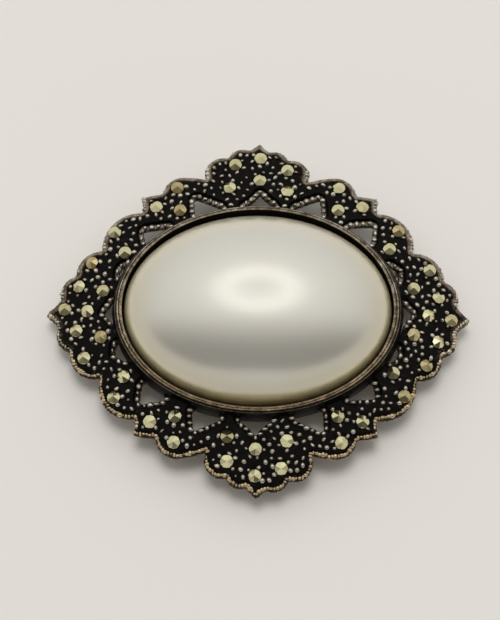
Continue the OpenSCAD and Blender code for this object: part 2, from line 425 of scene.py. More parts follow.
def new_object(name, vertices, faces, materials, attributes=None, smooth_angle=None):
    """A mesh object at the origin, with point attributes and faces that point outwards."""
    mesh = bpy.data.meshes.new(name)
    mesh.from_pydata([tuple(v) for v in vertices], [], faces)
    for key, values in (attributes or {}).items():
        mesh.attributes.new(key, "FLOAT", "POINT").data.foreach_set("value", values)
    shape = bmesh.new()
    shape.from_mesh(mesh)
    bmesh.ops.recalc_face_normals(shape, faces=shape.faces)
    shape.to_mesh(mesh)
    shape.free()
    if smooth_angle is not None:
        mesh.shade_smooth()
        mesh.set_sharp_from_angle(angle=smooth_angle)
    for material in materials:
        mesh.materials.append(material)
    return linked(name, mesh)


def linked(name, data):
    """An object that holds the data, in the scene."""
    made = bpy.data.objects.new(name, data)
    bpy.context.collection.objects.link(made)
    return made


def strip_faces(first, second):
    """Quads between two closed rows of points."""
    count = len(first)
    return [[first[i], first[(i + 1) % count], second[(i + 1) % count], second[i]] for i in range(count)]


def fan_faces(row, middle):
    """Triangles between a closed row of points and one in its middle."""
    return [[row[i], row[(i + 1) % len(row)], middle] for i in range(len(row))]


def oval_loft(rings, count, end_heights):
    """Points and faces of a closed loft of ovals, each (half length, half width, height)."""
    vertices = []
    for long_half, short_half, z in rings:
        for i in range(count):
            angle = math.tau * i / count
            vertices.append((long_half * math.cos(angle), short_half * math.sin(angle), z))
    rows = [range(start, start + count) for start in range(0, len(vertices), count)]
    faces = []
    for first, second in zip(rows, rows[1:]):
        faces += strip_faces(first, second)
    for z, row in zip(end_heights, (rows[0], rows[-1])):
        vertices.append((0, 0, z))
        faces += fan_faces(row, len(vertices) - 1)
    return vertices, faces


def merged_copy(node):
    """A CAD node's mesh with its loose triangles joined."""
    shape = bmesh.new()
    shape.from_mesh(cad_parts[node].data)
    bmesh.ops.remove_doubles(shape, verts=shape.verts, dist=MERGE)
    shape.normal_update()
    return shape


def uneven(point, level, size):
    """Noise from -1 to 1 at a plan point and a level, with features of the given size."""
    return noise.noise(Vector((point.x, point.y, level)) / size)


def eased(value):
    """Smooth step of a value from 0 to 1."""
    t = min(1, max(0, value))
    return t * t * (3 - 2 * t)


def fading(distance, start, width):
    """1 up to the start, then a smooth fall to 0 over the width."""
    return 1 - eased((distance - start) / width)


# ---------------------------------------------------------------- plan of the border


def chained(edges):
    """The closed loops that a set of mesh edges makes, as lists of plan points."""
    neighbours = {}
    for edge in edges:
        a, b = edge.verts
        neighbours.setdefault(a, []).append(b)
        neighbours.setdefault(b, []).append(a)
    loops = []
    while neighbours:
        here = next(iter(neighbours))
        loop = []
        while here is not None:
            loop.append(here.co.xy.copy())
            around = neighbours.pop(here)
            here = next((v for v in around if v in neighbours), None)
        loops.append(loop)
    return loops


def signed_area(loop):
    return sum(a.cross(b) for a, b in zip(loop, loop[1:] + loop[:1])) / 2


def resampled(loop, step):
    """The loop with its arcs made smooth again, at an even step, and its corners a little rounded."""
    corner = math.radians(24)
    count = len(loop)
    points = []
    for i in range(count):
        before, start, end, after = (loop[(i + k) % count] for k in (-1, 0, 1, 2))
        chord = end - start
        leave, arrive = chord.copy(), chord.copy()
        if (start - before).angle(chord) < corner:
            leave = (end - before).normalized() * chord.length
        if chord.angle(after - end) < corner:
            arrive = (after - start).normalized() * chord.length
        parts = max(1, round(chord.length / step))
        for k in range(parts):
            t = k / parts
            point = start * (2 * t**3 - 3 * t**2 + 1) + leave * (t**3 - 2 * t**2 + t)
            points.append(point + end * (3 * t**2 - 2 * t**3) + arrive * (t**3 - t**2))
    for _ in range(round((CORNER_ROUNDING / step) ** 2)):
        around = zip(points[-1:] + points[:-1], points, points[1:] + points[:1])
        points = [(a + 2 * b + c) / 4 for a, b, c in around]
    return points


def left_normals(loop):
    """Unit normals to the left of a closed loop's direction, where the border's metal is."""
    normals = []
    for i in range(len(loop)):
        along = loop[(i + 1) % len(loop)] - loop[i - 1]
        normals.append(Vector((-along.y, along.x)).normalized())
    return normals


def tree_of(points):
    tree = kdtree.KDTree(len(points))
    for i, point in enumerate(points):
        tree.insert((point.x, point.y, 0), i)
    tree.balance()
    return tree


def nearest(tree, point):
    return tree.find((point.x, point.y, 0))[2]


class Plan:
    """Plan of the border, read from its CAD node, and the shallow dome that it follows.

    Its two loops are the outline and the inner one, which runs along the openings and the bezel.
    """

    # Distance between the points of a loop, and between those that distances are measured from
    STEP = 0.11 * MM
    FINE_STEP = 0.03 * MM
    # A point of the inner loop that is this far from the bezel is beside an opening
    OPENING_CLEAR = 0.08 * MM
    # Distance between the rows of a hexagonal grid over that between its columns
    ROW_RATIO = 0.866

    def __init__(self):
        shape = merged_copy("border_frame")
        # The faces of the hollow back are those that look down
        back = {f for f in shape.faces if f.normal.z < -0.9}
        loops = chained([e for e in shape.edges if len(back.intersection(e.link_faces)) == 1])
        self.read_dome(shape, back)
        shape.free()
        loops.sort(key=lambda loop: -abs(signed_area(loop)))
        outer, inner = loops[:2]
        if signed_area(outer) < 0:
            outer.reverse()
        if signed_area(inner) > 0:
            inner.reverse()
        self.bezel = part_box("bezel_cup")[1].xy
        self.loops = [resampled(outer, self.STEP), resampled(inner, self.STEP)]
        self.normals = [left_normals(loop) for loop in self.loops]
        fine = resampled(inner, self.FINE_STEP)
        self.outer_tree = tree_of(resampled(outer, self.FINE_STEP))
        self.open_tree = tree_of([p for p in fine if self.from_bezel(p) > self.OPENING_CLEAR])
        self.stones = [self.seat(name) for name in STONE_NODES]
        self.stone_tree = tree_of(self.stones)

    def read_dome(self, shape, back):
        """Finds the dome's centre from the back's vertices, then its inner and outer radius."""
        low = np.array([v.co for v in shape.verts if back.intersection(v.link_faces)])
        system = np.column_stack((2 * low[:, 2], np.ones(len(low))))
        self.centre_z = np.linalg.lstsq(system, (low**2).sum(1), rcond=None)[0][0]
        reach = np.linalg.norm(np.array([v.co for v in shape.verts]) - (0, 0, self.centre_z), axis=1)
        self.inner_r = reach.min()
        self.outer_r = reach.max()

    def seat(self, name):
        """Middle of a stone's girdle on the dome."""
        low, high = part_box(name)
        return self.raised(((low + high) / 2).xy, 0)

    def raised(self, point, depth):
        """The place that lies a depth below the dome's top at a plan point."""
        return Vector((point.x, point.y, self.top(point) - depth))

    def top(self, point):
        return self.centre_z + math.sqrt(self.outer_r**2 - point.length_squared)

    def back(self, point):
        return self.centre_z + math.sqrt(self.inner_r**2 - point.length_squared)

    def square_to(self, place):
        """Unit normal of the dome at a place on it."""
        return (place - Vector((0, 0, self.centre_z))).normalized()

    def from_bezel(self, point):
        """Rough distance outwards from the bezel's oval."""
        ratio = math.hypot(point.x / self.bezel.x, point.y / self.bezel.y)
        return (ratio - 1) * self.bezel.y

    def from_edge(self, point):
        return nearest(self.outer_tree, point)

    def from_opening(self, point):
        return nearest(self.open_tree, point)

    def inside(self, points):
        """Which of the points lie on the border's metal, by counting the loops they cross."""
        places = np.array(points)[:, :2]
        crossings = np.zeros(len(places), int)
        for loop in self.loops:
            for a, b in zip(loop, loop[1:] + loop[:1]):
                if a.y == b.y:
                    continue
                passes = (a.y > places[:, 1]) != (b.y > places[:, 1])
                x = a.x + (places[:, 1] - a.y) * (b.x - a.x) / (b.y - a.y)
                crossings += passes & (places[:, 0] < x)
        return crossings % 2 == 1

    def kept(self, points):
        """The points that lie on the metal."""
        return [p for p, on_metal in zip(points, self.inside(points)) if on_metal]

    def hexagonal(self, pitch):
        """Points of a hexagonal grid that lie on the metal."""
        low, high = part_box("border_frame")
        row_pitch = pitch * self.ROW_RATIO
        rows = int((high.y - low.y) / row_pitch)
        columns = int((high.x - low.x) / pitch)
        grid = [
            Vector((low.x + (column + (row % 2) / 2) * pitch, low.y + row * row_pitch))
            for row in range(rows + 1)
            for column in range(columns + 1)
        ]
        return self.kept(grid)

    def field(self, pitch, edge_gap, bezel_gap):
        """The hexagonal grid's points that are clear of the border's edges and of the bezel."""
        return [
            p
            for p in self.hexagonal(pitch)
            if min(self.from_edge(p), self.from_opening(p)) > edge_gap and self.from_bezel(p) > bezel_gap
        ]

    def triangles(self, points):
        """Triangles on the metal between plan points, the first of which are the two loops."""
        edges = []
        start = 0
        for loop in self.loops:
            count = len(loop)
            edges += [(start + i, start + (i + 1) % count) for i in range(count)]
            start += count
        tolerance = 1e-6
        result = geometry.delaunay_2d_cdt([p / MM for p in points], edges, [], 0, tolerance)
        faces, origins = result[2], result[3]
        faces = [[origins[i][0] for i in f] for f in faces if all(origins[i] for i in f)]
        middles = [sum((points[i] for i in f), Vector((0, 0))) / 3 for f in faces]
        return [f for f, on_metal in zip(faces, self.inside(middles)) if on_metal]


@functools.cache
def border_plan():
    """The border's plan, read once for all its pieces."""
    return Plan()


# ---------------------------------------------------------------- border


def border_height(plan, border, point):
    """Height of the border's top at a plan point, and its wear scaled by painted light from the far side."""
    edge = plan.from_edge(point)
    opening = plan.from_opening(point)
    stone = nearest(plan.stone_tree, point)
    stone_r = bpy.context.scene.brooch_stones.diameter / 2
    fall = 0
    if edge < border.edge_width:
        fall = border.edge_drop * (1 - math.sqrt(max(0, 1 - (1 - edge / border.edge_width) ** 2)))
    ribbon_slope = 0.14 * MM
    ribbon = border.ribbon_drop * fading(opening, border.ribbon_width, ribbon_slope)
    soft_edge = 0.12 * MM
    soft_drop = 0.1 * MM
    if opening < soft_edge:
        ribbon += soft_drop * (1 - opening / soft_edge) ** 2
    dish_slope = 0.25 * MM
    dish = border.dish * fading(stone, stone_r, dish_slope)
    wave = uneven(point, 0, 0.7 * MM) * border.roughness
    edge_wear = 0.5 * fading(edge, 0.6 * border.edge_width, 0.5 * border.edge_width)
    ribbon_wear = 0.52 * fading(opening, 0.32 * MM, 0.2 * MM)
    # Painted light: the wear is scaled up towards the far (top) edge and down towards the near one
    wear = max(edge_wear, ribbon_wear) * painted_far_side_light(point)
    return plan.top(point) - max(fall, ribbon) - dish + wave, wear


def painted_far_side_light(point):
    """Painted light from the far side: how much the raised parts' wear is scaled, most along the top edge
    and least along the lower one.
    """
    least = 0.1
    return least + (1 - least) * eased((point.y + 9 * MM) / (15 * MM))


def ring_points(plan, border):
    """Points in rows beside the outline and the openings, where the top curves most."""
    edge_rows = [border.edge_width * f for f in (0.08, 0.2, 0.36, 0.56, 0.78, 1)]
    open_rows = [0.06 * MM, 0.13 * MM, border.ribbon_width * 0.6, border.ribbon_width]
    open_rows += [border.ribbon_width + f * MM for f in (0.05, 0.1, 0.15)]
    bezel_gap = 0.1 * MM
    points = []
    for rows, loop, normals in zip((edge_rows, open_rows), plan.loops, plan.normals):
        for place, normal in zip(loop, normals):
            if plan.from_bezel(place) < plan.OPENING_CLEAR:
                continue
            for row in rows:
                point = place + normal * row
                clear = min(plan.from_edge(point), plan.from_opening(point))
                if clear > row * 0.96 and plan.from_bezel(point) > bezel_gap:
                    points.append(point)
    return plan.kept(points)


def build_border(plan):
    """The cast border: curved top, lumpy side walls and hollow back, as one closed mesh."""
    border = bpy.context.scene.brooch_border
    pitch = 0.24 * MM
    edge_gap = max(border.edge_width, border.ribbon_width) + 0.2 * MM
    back_wear = 0.62
    rims = plan.loops[0] + plan.loops[1]
    top_points = rims + ring_points(plan, border) + plan.field(pitch, edge_gap, 0.15 * MM)
    back_points = rims + plan.field(3 * pitch, pitch, pitch)
    vertices = []
    wear = []
    for point in top_points:
        z, worn = border_height(plan, border, point)
        vertices.append((point.x, point.y, z))
        wear.append(worn)
    back_start = len(vertices)
    for point in back_points:
        wave = uneven(point, 9 * MM, 0.9 * MM) * border.roughness
        vertices.append((point.x, point.y, plan.back(point) + wave))
        wear.append(back_wear)
    faces = plan.triangles(top_points)
    faces += [[back_start + i for i in reversed(f)] for f in plan.triangles(back_points)]
    start = 0
    for loop, normals in zip(plan.loops, plan.normals):
        faces += add_wall(vertices, wear, plan, loop, normals, start, back_start + start)
        start += len(loop)
    metal = oxidised_silver("oxidised_silver", 0.5, 0.32)
    # The wear attribute holds the casting's wear and the painted light from the far side
    return new_object("border", vertices, faces, [metal], {"wear": wear}, math.radians(50))


def wall_relief(plan, border, point, along, level, row):
    """How far the side wall's lumps stand out and how worn they are, at a row from 0 to 1 down it."""
    swell = math.sin(math.pi * row)
    wander = 1.2 * uneven(point, 3 * MM, 1.1 * MM)
    turn = math.pi * (along / border.lump_pitch + wander)
    lump = math.sin(turn) ** 2
    rough = uneven(point, level + row * MM, 0.25 * MM)
    stretch = uneven(point, 0, 3.1 * MM)
    wear_and_painted_light = (0.3 + 0.35 * lump) * (0.5 + 0.5 * swell) + 0.35 * stretch
    return border.lumps * swell * (lump + 0.5 * rough), wear_and_painted_light


def add_wall(vertices, wear, plan, loop, normals, top_start, back_start):
    """Adds the side wall under a loop of the top, lumpy except where the bezel hides it."""
    border = bpy.context.scene.brooch_border
    hidden_gap = 0.3 * MM
    hidden_wear = 0.3
    count = len(loop)
    along = np.cumsum([0] + [(b - a).length for a, b in zip(loop, loop[1:])])
    strips = [range(top_start, top_start + count)]
    for row in (0.2, 0.4, 0.6, 0.8):
        strips.append(range(len(vertices), len(vertices) + count))
        for i, (point, normal) in enumerate(zip(loop, normals)):
            top_z = vertices[top_start + i][2]
            back_z = vertices[back_start + i][2]
            lump, wear_and_painted_light = 0, hidden_wear
            if plan.from_bezel(point) > hidden_gap:
                lump, wear_and_painted_light = wall_relief(plan, border, point, along[i], top_z, row)
            out = point - normal * lump
            vertices.append((out.x, out.y, top_z + (back_z - top_z) * row))
            wear.append(wear_and_painted_light)
    strips.append(range(back_start, back_start + count))
    faces = []
    for upper, lower in zip(strips, strips[1:]):
        faces += strip_faces(upper, lower)
    return faces


# ---------------------------------------------------------------- what repeats


BEAD_INPUTS = {
    "Diameter": "Float",
    "Variation": "Float",
    "Foot Wear": "Float",
    "Seed": "Int",
    "Material": "Material",
}
SPIN_INPUTS = {"Tilt": "Float", "Least Spin": "Float", "Most Spin": "Float"}
BEAD_TONES = (-0.6, 0.2)
STONE_TONES = (0.0, 1.0)


def geometry_tree(name, kinds):
    """An empty geometry tree, and its input sockets by name: the geometry and those of the given kinds."""
    group = bpy.data.node_groups.new(name, "GeometryNodeTree")
    group.interface.new_socket("Geometry", in_out="INPUT", socket_type="NodeSocketGeometry")
    group.interface.new_socket("Geometry", in_out="OUTPUT", socket_type="NodeSocketGeometry")
    for socket_name, kind in kinds.items():
        group.interface.new_socket(socket_name, in_out="INPUT", socket_type="NodeSocket" + kind)
    tree = Tree(group)
    entry = group.nodes.new("NodeGroupInput")
    return tree, {s.name: Socket(tree, s) for s in entry.outputs if s.name}


def random_value(tree, inputs, kind, low, high):
    """A random number or vector for each instance."""
    sizes = {"Min": low, "Max": high, "Seed": inputs["Seed"]}
    return tree.node("FunctionNodeRandomValue", {"data_type": kind}, sizes)


def stored(tree, shape, domain, name, value):
    """The shape with a value stored as a named attribute."""
    settings = {"data_type": "FLOAT", "domain": domain}
    inputs = {"Geometry": shape, "Name": name, "Value": value}
    return tree.node("GeometryNodeStoreNamedAttribute", settings, inputs)


def bead_shape(tree, inputs):
    """A small sphere whose wear attribute rises from that of its foot to a bare top."""
    radius = inputs["Diameter"] * 0.5
    bare = 1.25
    sizes = {"Segments": 10, "Rings": 6, "Radius": radius}
    ball = tree.node("GeometryNodeMeshUVSphere", {}, sizes).of("Mesh")
    here = tree.node("GeometryNodeInputPosition", {}, {})
    level = tree.node("ShaderNodeSeparateXYZ", {}, {"Vector": here}).of("Z")
    rise = {"Value": level, "From Min": 0, "From Max": radius, "To Min": inputs["Foot Wear"], "To Max": bare}
    return stored(tree, ball, "POINT", "wear", tree.node("ShaderNodeMapRange", {}, rise))


def random_scale(tree, inputs):
    """Random size of an instance about 1, a little different each way."""
    change = inputs["Variation"]
    return random_value(tree, inputs, "FLOAT_VECTOR", 1 - change, 1 + change)


def spun(tree, inputs):
    """Rotation along the point's axis attribute, then turned at random about it and tilted a little."""
    axis = tree.node("GeometryNodeInputNamedAttribute", {"data_type": "FLOAT_VECTOR"}, {"Name": "axis"})
    standing = tree.node("FunctionNodeAlignRotationToVector", {"axis": "Z"}, {"Vector": axis})
    tilt = inputs["Tilt"]
    back = tilt * -1
    low = tree.node("ShaderNodeCombineXYZ", {}, {"X": back, "Y": back, "Z": inputs["Least Spin"]})
    high = tree.node("ShaderNodeCombineXYZ", {}, {"X": tilt, "Y": tilt, "Z": inputs["Most Spin"]})
    turn = random_value(tree, inputs, "FLOAT_VECTOR", low, high)
    own = tree.node("FunctionNodeEulerToRotation", {}, {"Euler": turn})
    rotations = {"Rotation": standing, "Rotate By": own}
    return tree.node("FunctionNodeRotateRotation", {"rotation_space": "LOCAL"}, rotations)


def ended(tree, inputs, instances, tones, smooth):
    """Ends a tree in one mesh of the instances, with a random tone each and the material."""
    low, high = tones
    placed = tree.node("GeometryNodeInstanceOnPoints", {}, instances)
    toned = stored(tree, placed, "INSTANCE", "tone", random_value(tree, inputs, "FLOAT", low, high))
    real = tree.node("GeometryNodeRealizeInstances", {}, {"Geometry": toned})
    shaded = tree.node("GeometryNodeSetShadeSmooth", {}, {"Geometry": real, "Shade Smooth": smooth})
    done = tree.node("GeometryNodeSetMaterial", {}, {"Geometry": shaded, "Material": inputs["Material"]})
    tree.node("NodeGroupOutput", {}, {"Geometry": done})
    return tree.data


def scatter_tree():
    """Beads on every point of a mesh."""
    tree, inputs = geometry_tree("grain scatter", {**BEAD_INPUTS, **SPIN_INPUTS})
    instances = {
        "Points": inputs["Geometry"],
        "Instance": bead_shape(tree, inputs),
        "Rotation": spun(tree, inputs),
        "Scale": random_scale(tree, inputs),
    }
    return ended(tree, inputs, instances, BEAD_TONES, True)


def milgrain_tree():
    """Beads at an even pitch along the edges of a mesh."""
    tree, inputs = geometry_tree("milgrain", {**BEAD_INPUTS, "Pitch": "Float"})
    curve = tree.node("GeometryNodeMeshToCurve", {}, {"Mesh": inputs["Geometry"]})
    lengths = {"Curve": curve, "Length": inputs["Pitch"]}
    instances = {
        "Points": tree.node("GeometryNodeResampleCurve", {"mode": "LENGTH"}, lengths),
        "Instance": bead_shape(tree, inputs),
        "Scale": random_scale(tree, inputs),
    }
    return ended(tree, inputs, instances, BEAD_TONES, True)


def stone_tree():
    """A cut stone on every point, spun and tilted at random, with a tone of its own."""
    kinds = {"Stone": "Object", "Seed": "Int", "Material": "Material", **SPIN_INPUTS}
    tree, inputs = geometry_tree("stone setting", kinds)
    instances = {
        "Points": inputs["Geometry"],
        "Instance": tree.node("GeometryNodeObjectInfo", {}, {"Object": inputs["Stone"]}).of("Geometry"),
        "Rotation": spun(tree, inputs),
    }
    return ended(tree, inputs, instances, STONE_TONES, False)


def grown(name, vertices, edges, tree, values, axes=None):
    """Runs a geometry tree on points, with the axes they stand along, or on edges, and keeps its mesh."""
    mesh = bpy.data.meshes.new(name)
    mesh.from_pydata([tuple(v) for v in vertices], edges, [])
    if axes:
        flat = [c for axis in axes for c in axis]
        mesh.attributes.new("axis", "FLOAT_VECTOR", "POINT").data.foreach_set("vector", flat)
    made = linked(name, mesh)
    modifier = made.modifiers.new(name, "NODES")
    modifier.node_group = tree
    for item in tree.interface.items_tree:
        if item.item_type == "SOCKET" and item.in_out == "INPUT" and item.name in values:
            modifier[item.identifier] = values[item.name]
    evaluated = made.evaluated_get(bpy.context.evaluated_depsgraph_get())
    result = bpy.data.meshes.new_from_object(evaluated)
    made.modifiers.remove(modifier)
    made.data = result
    return made


def grain_places(plan):
    """Places of the raised grains: round the stones, in a row inside the outline, then all over."""
    grains = bpy.context.scene.brooch_grains
    stone_r = bpy.context.scene.brooch_stones.diameter / 2
    bezel_gap = 0.35 * MM
    stone_gap = 0.18 * MM
    jitter = 0.1 * MM
    draw = random.Random(grains.seed)
    candidates = []
    for stone in plan.stones:
        angle = draw.random() * math.tau
        for _ in range(5):
            angle += draw.uniform(0.8, 1.5)
            around = Vector((math.cos(angle), math.sin(angle)))
            candidates.append(stone.xy + around * (stone_r + draw.uniform(0.2, 0.3) * MM))
    outline = zip(plan.loops[0], plan.normals[0])
    candidates += [place + normal * grains.edge_gap for place, normal in outline]
    for point in plan.hexagonal(0.3 * grains.spacing):
        shift = Vector((draw.uniform(-jitter, jitter), draw.uniform(-jitter, jitter)))
        candidates.append(point + shift)
    places = []
    for point in plan.kept(candidates):
        if (
            plan.from_edge(point) > grains.edge_gap - 0.08 * MM
            and plan.from_opening(point) > grains.ribbon_gap
            and plan.from_bezel(point) > bezel_gap
            and nearest(plan.stone_tree, point) > stone_r + stone_gap
            and all((point - other).length > grains.spacing for other in places)
        ):
            places.append(point)
    return places


def runs(places):
    """Vertices and edges of open runs of places; None ends one run and starts the next."""
    vertices = []
    edges = []
    last = None
    for place in places:
        if place is None:
            last = None
            continue
        if last is not None:
            edges.append((last, len(vertices)))
        last = len(vertices)
        vertices.append(place)
    return vertices, edges


def ribbon_runs(plan):
    """Runs along the middle of every ribbon."""
    border = bpy.context.scene.brooch_border
    inset = 0.24 * MM
    places = []
    for place, normal in zip(plan.loops[1], plan.normals[1]):
        point = place + normal * inset
        if plan.from_bezel(place) <= 0.1 * MM or plan.from_bezel(point) <= 0.3 * MM:
            places.append(None)
        elif plan.from_opening(point) >= 0.9 * inset:
            places.append(plan.raised(point, border.ribbon_drop))
    return runs(places)


def outline_runs(plan):
    """Runs on the rounded edge of the lower half, where its file-cut beads remain."""
    border = bpy.context.scene.brooch_border
    inset = 0.2 * MM
    upward = -0.15
    places = []
    for place, normal in zip(plan.loops[0], plan.normals[0]):
        wander = uneven(place, 5 * MM, 0.4 * MM)
        point = place + normal * inset * (1 + 0.5 * wander)
        if normal.y < upward:
            places.append(None)
        elif plan.from_edge(point) >= 0.5 * inset:
            level = border_height(plan, border, point)[0] - BEAD_DEPTH
            places.append(Vector((point.x, point.y, level)))
    return runs(places)


def cut_stone():
    """One rose-cut stone, whose z = 0 is the dome's level, with six upper facets and eighteen lower ones."""
    stones = bpy.context.scene.brooch_stones
    radius = stones.diameter / 2
    girdle_z = 0.05 * MM
    rings = [
        (6, radius * 0.93, girdle_z + stones.crown * 0.2),
        (12, radius, girdle_z),
        (12, radius, -0.08 * MM),
        (12, radius * 0.55, -0.45 * MM),
    ]
    vertices = [(0, 0, girdle_z + stones.crown)]
    rows = []
    for count, ring_r, z in rings:
        rows.append(range(len(vertices), len(vertices) + count))
        for i in range(count):
            angle = math.tau * i / count
            vertices.append((ring_r * math.cos(angle), ring_r * math.sin(angle), z))
    crown, girdle, waist, foot = rows
    faces = fan_faces(crown, 0)
    for i in range(6):
        a, b = crown[i], crown[(i + 1) % 6]
        c, d, e = (girdle[(2 * i + k) % 12] for k in range(3))
        faces += [[a, c, d], [a, d, b], [b, d, e]]
    faces += strip_faces(girdle, waist) + strip_faces(waist, foot)
    faces.append(list(foot))
    return new_object("cut_stone", vertices, faces, [])


# ---------------------------------------------------------------- bezel and pearl


def build_bezel():
    """The cup that holds the pearl, with its grooved, burnished rim."""
    bezel = bpy.context.scene.brooch_bezel
    low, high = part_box("bezel_cup")
    pearl_low, pearl_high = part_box("pearl_cabochon")
    girdle_z = pearl_low.z + bpy.context.scene.brooch_pearl.girdle
    lean_start = girdle_z + bezel.upright
    foot = high.x - pearl_high.x
    rim_out = foot - bezel.lean
    rim_in = rim_out - bezel.rim_width
    middle = (rim_out + rim_in) / 2
    inner = bezel.pearl_gap
    top = high.z
    floor = low.z + bezel.floor
    edge = bezel.rim_round
    line = top - bezel.bead_drop
    on_wall = rim_out + (foot - rim_out) * (bezel.bead_drop / (top - lean_start))
    # Each row is the margin round the pearl, the height and the wear
    section = [
        (foot, low.z, -0.1),
        (foot, lean_start, -0.2),
        (on_wall + 0.02 * MM, line - 0.1 * MM, -0.2),
        (on_wall + 0.06 * MM, line - 0.03 * MM, 0.5),
        (on_wall + 0.05 * MM, line + 0.03 * MM, 0.55),
        (on_wall - 0.02 * MM, line + 0.1 * MM, -0.1),
        (rim_out + 0.03 * MM, top - 2.0 * edge, 0.2),
        (rim_out + 0.02 * MM, top - edge, 0.3),
        (rim_out - 0.4 * edge, top - 0.3 * edge, 0.5),
        (rim_out - edge, top, 0.6),
        (middle + 0.09 * MM, top - 0.01 * MM, 0.4),
        (middle + 0.06 * MM, top - bezel.groove, 0.05),
        (middle + 0.02 * MM, top - 0.01 * MM, 0.35),
        (rim_in + 1.4 * edge, top, 0.5),
        (rim_in + 0.4 * edge, top - 0.6 * edge, 0.6),
        (rim_in, top - 1.5 * edge, -0.1),
        (inner + 0.5 * (rim_in - inner), girdle_z + 0.5 * (top - girdle_z), -0.15),
        (inner, girdle_z, -0.15),
        (inner, floor, -0.15),
    ]
    inside_rows = 4
    # Painted light and shade: the inner wall's rows are lightened on the near side, which faces the light
    # from the far side, and left dark on the far side
    inner_wall_painted_light = 0.6
    count = 288
    rings = []
    for margin, z, _ in section:
        rise = eased((z - lean_start) / (top - lean_start))
        across = (rim_out - margin) / (rim_out - rim_in)
        drawn_in = bezel.end_tuck * rise * (1 + 0.7 * eased(across))
        rings.append((pearl_high.x + margin - drawn_in, pearl_high.y + margin, z))
    vertices, faces = oval_loft(rings, count, (low.z, floor))
    near_side_painted_light = [0.5 - 0.5 * math.sin(math.tau * i / count) for i in range(count)]
    wear = []
    for k, (_, _, worn) in enumerate(section):
        # Painted light on the near side of the inner wall, added to the section's wear
        wear_and_painted_light = inner_wall_painted_light if k >= len(section) - inside_rows else 0
        wear += [worn + wear_and_painted_light * near for near in near_side_painted_light]
    underside_wear, floor_wear = 0.1, 0.0
    wear += [underside_wear, floor_wear]
    rippled = []
    for (x, y, z), worn in zip(vertices, wear):
        place = Vector((x, y, z))
        ripple = noise.noise(place / (1.3 * MM)) + 0.6 * noise.noise(place / (0.35 * MM))
        rippled.append((x, y, z + ripple * bezel.ripple * min(1, max(0, worn))))
    metal = oxidised_silver("worn_silver", 0.4, 0.3)
    return new_object("bezel", rippled, faces, [metal], {"wear": wear}, math.radians(60))


def build_pearl():
    """The cabochon: a straight girdle, eased at its foot, under half an ellipsoid."""
    low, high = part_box("pearl_cabochon")
    girdle_z = low.z + bpy.context.scene.brooch_pearl.girdle
    count, dome_rings = 160, 56
    ease = 0.15 * MM
    levels = [(1 - ease / high.y, low.z), (1, low.z + ease), (1, girdle_z)]
    for ring in range(1, dome_rings):
        angle = math.pi / 2 * ring / dome_rings
        levels.append((math.cos(angle), girdle_z + (high.z - girdle_z) * math.sin(angle)))
    rings = [(high.x * scale, high.y * scale, z) for scale, z in levels]
    vertices, faces = oval_loft(rings, count, (low.z, high.z))
    material = pearl_material(low.z, high.z)
    return new_object("pearl", vertices, faces, [material], smooth_angle=math.radians(50))


# ---------------------------------------------------------------- stage


def build_floor():
    """A plain pale floor, a little mottled."""
    material, look = new_material("floor")
    pale = bpy.context.scene.brooch_stage.floor
    mottle = look.noise(40 * MM)
    look.finish(
        Base_Color=look.mix(mottle, [0.985 * c for c in pale], pale),
        Roughness=0.8 + mottle * 0.1,
        Normal=look.bump(look.noise(0.6 * MM), 0.01 * MM, 0.3),
    )
    side = 2.0
    corners = [(-side, -side, 0), (side, -side, 0), (side, side, 0), (-side, side, 0)]
    mesh = bpy.data.meshes.new("floor")
    mesh.from_pydata(corners, [], [(0, 1, 2, 3)])
    mesh.materials.append(material)
    return linked("floor", mesh)


def build_world():
    """Soft light from all round, dark high over the viewer's side and brightest nearly overhead."""
    world = bpy.data.worlds.new("studio")
    bpy.context.scene.world = world
    look = Shading(world)
    way = look.node("ShaderNodeTexCoord", {}, {}).of("Generated")
    parts = look.node("ShaderNodeSeparateXYZ", {}, {"Vector": way})
    level = parts.of("Z") + abs(parts.of("X")) * 0.3
    near = 0 - parts.of("Y")
    far = parts.of("Y").between(-0.8, 0.4)
    dark = near.between(-0.1, 0.55) * level.between(0.46, 0.62)
    towards_glow = {0: way, 1: (0.0, 0.34, 0.94)}
    facing = look.node("ShaderNodeVectorMath", {"operation": "DOT_PRODUCT"}, towards_glow).of("Value")
    light = (0.65 + far * 0.02) * (1 - dark * 0.88) + facing.between(0.52, 1.0) * 0.2
    tone = look.mix(dark, (1.0, 0.985, 0.955), (0.95, 0.87, 0.80))
    sky = look.node("ShaderNodeBackground", {}, {"Color": tone, "Strength": light})
    look.node("ShaderNodeOutputWorld", {}, {"Surface": sky})


def add_light(name, place, aim, size, watts, tint, mirrored):
    """A disk light aimed at a point; one that isn't mirrored doesn't show in glossy surfaces."""
    light = bpy.data.lights.new(name, "AREA")
    light.shape = "DISK"
    light.size = size
    light.energy = watts
    light.color = tint
    made = linked(name, light)
    made.location = place
    made.visible_glossy = mirrored
    made.rotation_mode = "QUATERNION"
    made.rotation_quaternion = (Vector(aim) - Vector(place)).to_track_quat("-Z", "Y")


def build_lights(aim):
    """A round studio lamp high on the far side, as a ring of small disks, and a soft key light."""
    distance, ring_r, count = 0.6, 0.165, 12
    tilt = math.radians(20)
    middle = Vector((0, math.sin(tilt), math.cos(tilt)))
    across = Vector((1, 0, 0))
    along = middle.cross(across)
    for k in range(count):
        angle = math.tau * k / count
        place = aim + middle * distance + (across * math.cos(angle) + along * math.sin(angle)) * ring_r
        add_light(f"ring_{k + 1}", place, aim, 0.13, 0.024, (0.99, 1.0, 1.0), True)
    add_light("key", aim + Vector((0, 0.11, 0.6)), aim, 0.24, 1.5, (1.0, 0.975, 0.94), False)


